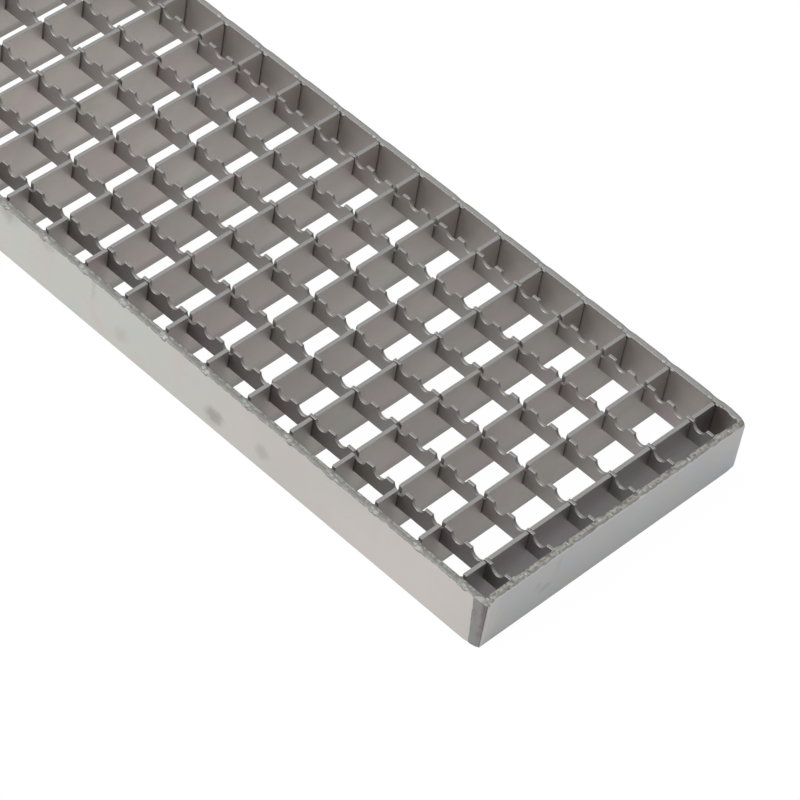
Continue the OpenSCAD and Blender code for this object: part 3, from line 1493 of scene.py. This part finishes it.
@dataclass(frozen=True)
class CornerWelds:
    """The weld metal in the two butt joints: a bulged, rippled strip down each corner.

    A strip covers the ground flat from foot_gap above the underside up. It narrows from
    top_width to foot_width and stands out by bulge in its middle. A slow and a fast wave
    shift its left edge, and lumps vary its bulge. Its back is sunk by depth in the bands.
    """

    panel: Panel
    top_width: float = 9.6 * MM
    foot_width: float = 6.6 * MM
    bulge: float = 0.75 * MM
    bulge_power: float = 0.7
    depth: float = 2.2 * MM
    foot_gap: float = 0.3 * MM
    steps_up: int = 44
    steps_across: int = 12
    slow_wave: float = 5 * MM
    fast_wave: float = 1.7 * MM
    slow_row: float = 3.0
    fast_row: float = 9.0
    slow_swing: float = 0.35 * MM
    fast_swing: float = 0.15 * MM
    bulge_swing: float = 0.35
    right_inset: float = 0.25 * MM
    right_wave: float = 4 * MM
    right_row: float = 17.0
    right_swing: float = 0.15 * MM
    lump_across: float = 2.4 * MM
    lump_up: float = 3 * MM
    lump_seed: float = 5.0
    lump_share: float = 0.4

    def ring(self, up: float) -> list[Vector]:
        """Draws the plan of the strip at one height.

        Args:
            up: The height.

        Returns:
            The plan's points, measured from the +X, -Y corner of the panel.
        """
        p = self.panel
        slow = wave(up, self.slow_wave, self.slow_row)
        fast = wave(up, self.fast_wave, self.fast_row)
        width = self.foot_width + (self.top_width - self.foot_width) * up / p.height
        left = -width - self.slow_swing * slow - self.fast_swing * fast
        right = -self.right_inset + self.right_swing * wave(up, self.right_wave, self.right_row)
        points = []
        for k in range(self.steps_across + 1):
            share = k / self.steps_across
            x = left + (right - left) * share
            base = p.flat_depth * (x + p.flat_length) / p.flat_length
            base -= p.near_lean * (1 - up / p.height) * (1 - share)
            lump = wave(x, self.lump_across, up / self.lump_up, self.lump_seed)
            swell = math.sin(math.pi * share) ** self.bulge_power * self.bulge
            swell *= 1 + self.bulge_swing * slow + self.lump_share * lump
            points.append(Vector((x, base - swell)))
        right_root = points[-1] + Vector((-self.depth, self.depth))
        left_root = points[0] + Vector((self.depth, self.depth))
        return [*points, right_root, left_root]

    def build(self, finish: bpy.types.Material) -> bpy.types.Object:
        """Makes both strips as one piece, each from a gap above the underside up.

        Args:
            finish: The strips' material.

        Returns:
            The piece.
        """
        p = self.panel
        mesh = bmesh.new()
        corner = Vector((p.length / 2, -p.width / 2))
        for turn in (1.0, -1.0):
            rings = []
            for k in range(self.steps_up + 1):
                up = max(self.foot_gap, p.height * k / self.steps_up)
                spots = [(corner + spot) * turn for spot in self.ring(up)]
                rings.append([mesh.verts.new((spot.x, spot.y, up)) for spot in spots])
            for _ in loft(mesh, rings):
                pass
        return piece_from(mesh, "corner_weld_strips", finish)


@dataclass(frozen=True)
class Lump:
    """One lump of weld metal, placed from the middle of the band's top beside a bar's end."""

    along: float
    inwards: float
    up: float
    scale: Triple


@dataclass(frozen=True)
class EndBeads:
    """The weld metal on the rim at each bar end, filler end and corner, as sunken lumps."""

    panel: Panel
    seed: int = 11
    jitter: float = 0.7 * MM
    least_scale: float = 0.8
    most_scale: float = 1.15
    bend_inset: float = 2 * MM
    lump_depth: float = 0.35 * MM
    lump_scale: float = 260.0
    side: tuple[Lump, ...] = (
        Lump(1.4 * MM, 0.3 * MM, -0.35 * MM, (2.8 * MM, 1.9 * MM, 0.55 * MM)),
        Lump(4.4 * MM, -0.5 * MM, -0.3 * MM, (2.9 * MM, 1.7 * MM, 0.6 * MM)),
        Lump(7.2 * MM, -1.1 * MM, -0.4 * MM, (1.9 * MM, 1.1 * MM, 0.55 * MM)),
        Lump(2.6 * MM, -1.9 * MM, -0.9 * MM, (2.3 * MM, 0.7 * MM, 0.8 * MM)),
        Lump(5.2 * MM, -2.05 * MM, -1.1 * MM, (1.9 * MM, 0.6 * MM, 0.9 * MM)),
        Lump(0.1 * MM, 2.4 * MM, -1.5 * MM, (1.7 * MM, 1.6 * MM, 0.9 * MM)),
    )
    far: tuple[Lump, ...] = (
        Lump(5.0 * MM, 1.7 * MM, -0.2 * MM, (2.5 * MM, 1.3 * MM, 0.6 * MM)),
        Lump(1.8 * MM, 0.4 * MM, -0.5 * MM, (2.8 * MM, 1.3 * MM, 0.55 * MM)),
        Lump(-2.5 * MM, 2.5 * MM, -0.8 * MM, (2.1 * MM, 1.0 * MM, 0.7 * MM)),
    )
    end: tuple[Lump, ...] = (
        Lump(2.2 * MM, 1.1 * MM, -0.35 * MM, (2.8 * MM, 1.5 * MM, 0.6 * MM)),
        Lump(5.9 * MM, 0.5 * MM, -0.35 * MM, (3.0 * MM, 1.5 * MM, 0.6 * MM)),
        Lump(9.4 * MM, 0.2 * MM, -0.2 * MM, (0.8 * MM, 2.1 * MM, 0.6 * MM)),
        Lump(2.0 * MM, 2.6 * MM, -0.7 * MM, (3.0 * MM, 1.1 * MM, 0.8 * MM)),
    )
    corner: tuple[Lump, ...] = (
        Lump(-2.6 * MM, 0.3 * MM, -0.5 * MM, (3.2 * MM, 2.1 * MM, 0.8 * MM)),
        Lump(0.2 * MM, -0.4 * MM, -0.7 * MM, (2.4 * MM, 2.1 * MM, 0.9 * MM)),
        Lump(0.6 * MM, 2.6 * MM, -0.4 * MM, (1.3 * MM, 2.6 * MM, 0.6 * MM)),
    )
    bend: tuple[Lump, ...] = (
        Lump(-12.0 * MM, 1.7 * MM, -0.5 * MM, (2.0 * MM, 1.1 * MM, 0.6 * MM)),
        Lump(-3.4 * MM, 2.1 * MM, -0.6 * MM, (3.4 * MM, 1.3 * MM, 0.7 * MM)),
        Lump(1.6 * MM, 2.2 * MM, -0.8 * MM, (2.2 * MM, 1.2 * MM, 0.7 * MM)),
    )

    def lumps(
        self, draw: random.Random, group: Sequence[Lump], spot: Vector, way: Vector, inwards: Vector
    ) -> list[Place]:
        """Sets out one group of lumps, each a little off its place and size.

        Args:
            draw: The source of the small differences.
            group: The lumps.
            spot: Middle of the band's top beside the bar's end.
            way: Direction in which the bead was laid.
            inwards: Direction to the inside of the panel.

        Returns:
            The lumps' places.
        """
        turn = math.atan2(way.y, way.x)
        places = []
        for lump in group:
            along = lump.along + draw.uniform(-self.jitter, self.jitter)
            grown = [draw.uniform(self.least_scale, self.most_scale) for _ in lump.scale]
            scale = tuple(size * share for size, share in zip(lump.scale, grown))
            middle = spot + (way * along + inwards * lump.inwards)
            places.append(Place((middle.x, middle.y, self.panel.height + lump.up), turn, scale))
        return places

    def places(self) -> list[Place]:
        """Sets out all the lumps, first of the near side and +X end, then of the others.

        Returns:
            The lumps' places.
        """
        draw = random.Random(self.seed)
        p = self.panel
        half_x, half_y = (p.length - p.band_thickness) / 2, (p.width - p.band_thickness) / 2
        along, across = Vector((1.0, 0.0)), Vector((0.0, 1.0))
        places = []
        for turn in (1.0, -1.0):
            group = self.side if turn > 0 else self.far
            for bar in p.bearing_places():
                spot = Vector((bar.spot[0] + bar.turn * half_y * turn, -half_y * turn))
                places += self.lumps(draw, group, spot, along * turn, across * turn)
            for y in p.filler_places():
                x = p.end_face(y) - p.band_thickness / 2 if turn > 0 else -half_x
                places += self.lumps(draw, self.end, Vector((x, y)), across * turn, along * -turn)
            spot = Vector((half_x, -half_y)) * turn
            places += self.lumps(draw, self.corner, spot, along * turn, across * turn)
            if turn > 0:
                bend = Vector((half_x - self.bend_inset, half_y))
                places += self.lumps(draw, self.bend, bend, along, -across)
        return places

    def build(self, tree: CopyTree) -> bpy.types.Object:
        """Makes all the beads as one piece.

        Args:
            tree: The tree that copies one bead to every place.

        Returns:
            The piece.
        """
        mesh = bmesh.new()
        bmesh.ops.create_icosphere(mesh, subdivisions=2, radius=1.0)
        pattern = piece_from(mesh, "bead_pattern", None)
        values = {
            "Lump Depth": self.lump_depth,
            "Lump Scale": self.lump_scale,
            "Smooth": True,
            "Material": BEAD_METAL.build(self.panel.height),
        }
        return tree.bake("weld_beads", pattern, self.places(), values)


# ---------------------------------------------------------------- studio


@dataclass(frozen=True)
class Lamp:
    """A soft square lamp that faces the panel."""

    name: str
    place: Triple
    size: float
    watts: float

    def build(self) -> None:
        """Adds the lamp to the scene."""
        data = bpy.data.lights.new(self.name, "AREA")
        data.size, data.energy = self.size, self.watts
        lamp = bpy.data.objects.new(self.name, data)
        lamp.location = self.place
        lamp.rotation_euler = Vector(self.place).to_track_quat("Z", "Y").to_euler()
        bpy.context.scene.collection.objects.link(lamp)


@dataclass(frozen=True)
class Studio:
    """Camera, pale floor and soft light.

    The camera aims at a point of the panel's top, given as shares of its length and width.
    Azimuth, elevation and roll are in degrees, lens and sensor in the camera's millimetres.
    """

    panel: Panel
    aim_along: float = 0.17983
    aim_across: float = -0.1708
    azimuth: float = 36.47
    elevation: float = 46.33
    roll: float = 10.93
    distance: float = 2.20328
    lens: float = 178.08
    sensor: float = 36.0
    floor_half: float = 15.0
    floor_drop: float = 0.2 * MM
    floor_colour: Colour = (0.86, 0.86, 0.86)
    floor_seen: float = 0.985
    floor_mirrored: float = 0.5
    # Share of the painted glow, in front of the near side, that gloss sees
    front_painted_glow: float = 0.95
    front_blur: float = 4 * MM
    surround: Colour = (0.62, 0.63, 0.65)
    white: Colour = (1.0, 1.0, 1.0)
    lamps: tuple[Lamp, ...] = (
        Lamp("key", (-1.0, -2.4, 1.8), 1.6, 80),
        Lamp("top", (-0.8, 0.4, 2.8), 2.0, 40),
        Lamp("end", (2.6, -0.3, 0.8), 1.6, 15),
    )

    def camera(self) -> None:
        """Places the camera, long-lensed and looking down on the +X end."""
        p = self.panel
        aim = Vector((p.length * (0.5 - self.aim_along), p.width * self.aim_across, p.height))
        turn, rise = math.radians(self.azimuth), math.radians(self.elevation)
        level = math.cos(rise)
        back = Vector((math.sin(turn) * level, -math.cos(turn) * level, math.sin(rise)))
        data = bpy.data.cameras.new("camera")
        data.lens, data.sensor_width = self.lens, self.sensor
        camera = bpy.data.objects.new("camera", data)
        roll = Matrix.Rotation(math.radians(self.roll), 3, "Z")
        way = back.to_track_quat("Z", "Y").to_matrix() @ roll
        camera.matrix_world = Matrix.Translation(aim + back * self.distance) @ way.to_4x4()
        bpy.context.scene.collection.objects.link(camera)
        bpy.context.scene.camera = camera

    def floor(self) -> None:
        """Lays a wide white floor that takes the panel's shadow.

        In front of the near side it glows brighter for gloss: painted light that stands in for the
        key lamp's light on the floor, seen in the near face.
        """
        mesh = bmesh.new()
        bmesh.ops.create_grid(mesh, x_segments=1, y_segments=1, size=self.floor_half)
        bmesh.ops.translate(mesh, verts=mesh.verts, vec=(0, 0, -self.floor_drop))
        g = Graph.of_material("floor_white")
        paint = g.node("ShaderNodeBsdfDiffuse", None, {"Color": (*self.floor_colour, 1.0)})
        glow = g.node("ShaderNodeEmission", None, {"Color": (*self.white, 1.0), "Strength": 1.0})
        near_face = -self.panel.width / 2
        # Painted light: a brighter glowing strip in front of the near side, for the near face to
        # mirror
        front = g.axes(g.position())[1].step(near_face + self.front_blur, near_face)
        mirrored = front * (self.front_painted_glow - self.floor_mirrored) + self.floor_mirrored
        share = g.backdrop(self.floor_seen, mirrored)
        inputs = {0: share, 1: Val(g, paint.outputs[0]), 2: Val(g, glow.outputs[0])}
        mix = g.node("ShaderNodeMixShader", None, inputs)
        g.node("ShaderNodeOutputMaterial", None, {"Surface": Val(g, mix.outputs[0])})
        piece_from(mesh, "floor", g.owner)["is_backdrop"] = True

    def world(self) -> None:
        """Makes a soft grey surround that shows as white."""
        g = Graph(bpy.data.worlds.new("surround"))
        soft = g.node("ShaderNodeBackground", None, {"Color": (*self.surround, 1.0)})
        white = g.node("ShaderNodeBackground", None, {"Color": (*self.white, 1.0)})
        inputs = {0: g.backdrop(), 1: Val(g, soft.outputs[0]), 2: Val(g, white.outputs[0])}
        mix = g.node("ShaderNodeMixShader", None, inputs)
        g.node("ShaderNodeOutputWorld", None, {"Surface": Val(g, mix.outputs[0])})
        bpy.context.scene.world = g.owner

    def build(self) -> None:
        """Sets up the whole studio."""
        self.camera()
        self.floor()
        self.world()
        for lamp in self.lamps:
            lamp.build()
        bpy.context.scene.view_settings.view_transform = "Standard"


def add(piece: bpy.types.Object, slot: str, *nodes: str) -> None:
    """Rides a piece on the panel's body and hides the CAD nodes that it replaces.

    Args:
        piece: The finished piece.
        slot: Not used.
        nodes: The CAD nodes that it replaces.
    """
    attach(piece, BODY)
    if nodes:
        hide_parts(*nodes)
    LOG.info("%s: %d faces", piece.name, len(piece.data.polygons))


def main() -> None:
    """Loads the frame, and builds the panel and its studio."""
    logging.basicConfig(level=logging.INFO, format="%(name)s: %(message)s")
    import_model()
    low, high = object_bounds()
    panel = Panel.from_frame(low, high)
    Studio(panel).build()
    tree = CopyTree()
    add(BearingBars(panel).build(tree), "grid_steel", "grid")
    add(Fillers(panel).build(tree), "grid_steel", "grid")
    steels = {Leg.END_AND_FAR_SIDE: END_BAND_STEEL, Leg.NEAR_SIDE_AND_END: NEAR_BAND_STEEL}
    for leg, steel in steels.items():
        add(RimBand(panel, leg).build(steel.build()), "band_steel", leg.value)
    add(CornerWelds(panel).build(CORNER_METAL.build()), "weld_metal", "corner_welds")
    add(EndBeads(panel).build(tree), "weld_metal")


if __name__ == "__main__":
    main()
